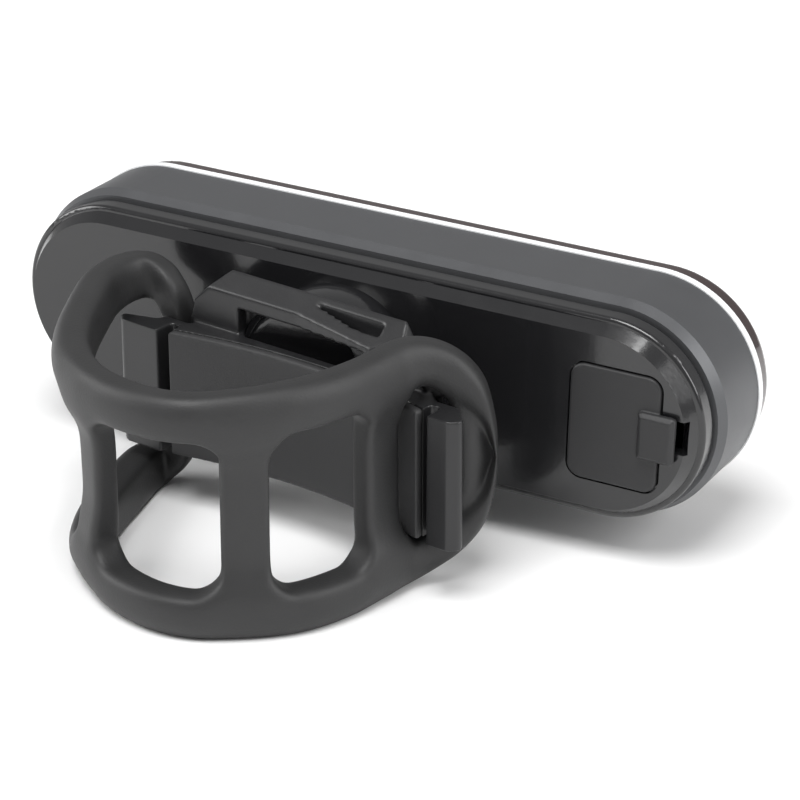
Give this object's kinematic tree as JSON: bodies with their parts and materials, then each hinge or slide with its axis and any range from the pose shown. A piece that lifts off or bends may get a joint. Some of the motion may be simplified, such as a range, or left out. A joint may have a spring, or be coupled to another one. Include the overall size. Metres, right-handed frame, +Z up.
{
  "type": "bicycle tail light",
  "caption": "Slim rounded bar tail light with smoked lens and sealed charging port, on a ball-jointed bracket with a rubber ladder strap.",
  "frame": {"origin": "on the axis of a 27.2 mm seat post, level with the middle of the bracket's ears", "axes": "+Z up along the seat post, +Y from the post towards the lens, +X to the right seen from the post"},
  "size_m": [0.0977, 0.0714, 0.0335],
  "materials": {
    "grey_shell": "fine-grained dark silver plastic",
    "cover_black": "glossy black plastic",
    "bracket_black": "satin black plastic",
    "strap_rubber": "matt black silicone rubber",
    "pad_rubber": "matt black rubber",
    "flap_rubber": "matt black rubber",
    "lens_smoke": "clear smoked plastic",
    "guide_clear": "frosted clear plastic",
    "reflector_silver": "silvered plastic",
    "board_green": "glass-epoxy board",
    "chip_black": "moulded chips",
    "lamp_white": "lamp packages",
    "steel": "plain steel",
    "cell_foil": "foil pouch",
    "inner_plastic": "plain moulded plastic",
    "liner_white": "slippery white plastic",
    "foam_grey": "soft foam",
    "button_black": "matt rubber cap"
  },
  "bodies": {
    "bracket": {"bracket_body": "bracket_black", "saddle_pad": "pad_rubber", "ball_stud": "steel", "strap": "strap_rubber"},
    "inner_liner": {"liner_inner": "liner_white"},
    "outer_liner": {"liner_outer": "liner_white"},
    "light": {"housing_shell": "grey_shell", "light_guide": "guide_clear", "lens": "lens_smoke", "rear_cover": "cover_black", "friction_spring": "steel", "socket_plug": "inner_plastic", "cover_seal": "pad_rubber", "reflector": "reflector_silver", "circuit_board": "board_green", "lamps": "lamp_white", "board_chips": "chip_black", "board_screws": "steel", "battery_cell": "cell_foil", "battery_tray": "inner_plastic", "foam_pad": "foam_grey", "usb_socket": "steel", "usb_tongue": "inner_plastic", "usb_board": "board_green", "button_switch": "inner_plastic"},
    "flap": {"usb_flap": "flap_rubber"},
    "button": {"power_button": "button_black"}
  },
  "joints": [
    {"name": "light_yaw", "type": "hinge", "parent": "bracket", "child": "inner_liner", "pos_m": [-0.00318, 0.02286, 0.00344], "axis": [0, 0, 1], "range_deg": [-12, 1.5]},
    {"name": "light_pitch", "type": "hinge", "parent": "inner_liner", "child": "outer_liner", "pos_m": [-0.00318, 0.02286, 0.00344], "axis": [0.986, 0.1668, 0], "range_deg": [-4, 4]},
    {"name": "light_spin", "type": "hinge", "parent": "outer_liner", "child": "light", "pos_m": [-0.00318, 0.02286, 0.00344], "axis": [-0.1668, 0.986, -0.0052], "range_deg": [-3, 90]},
    {"name": "flap_open", "type": "hinge", "parent": "light", "child": "flap", "pos_m": [0.02684, 0.03062, 0.00272], "axis": [-0.0215, -0.0089, -0.9997], "range_deg": [0, 110]},
    {"name": "button_press", "type": "slide", "parent": "light", "child": "button", "axis": [0.0215, 0.0089, 0.9997], "range_m": [0, 0.0005], "stiffness_N_per_m": 2000}
  ]
}
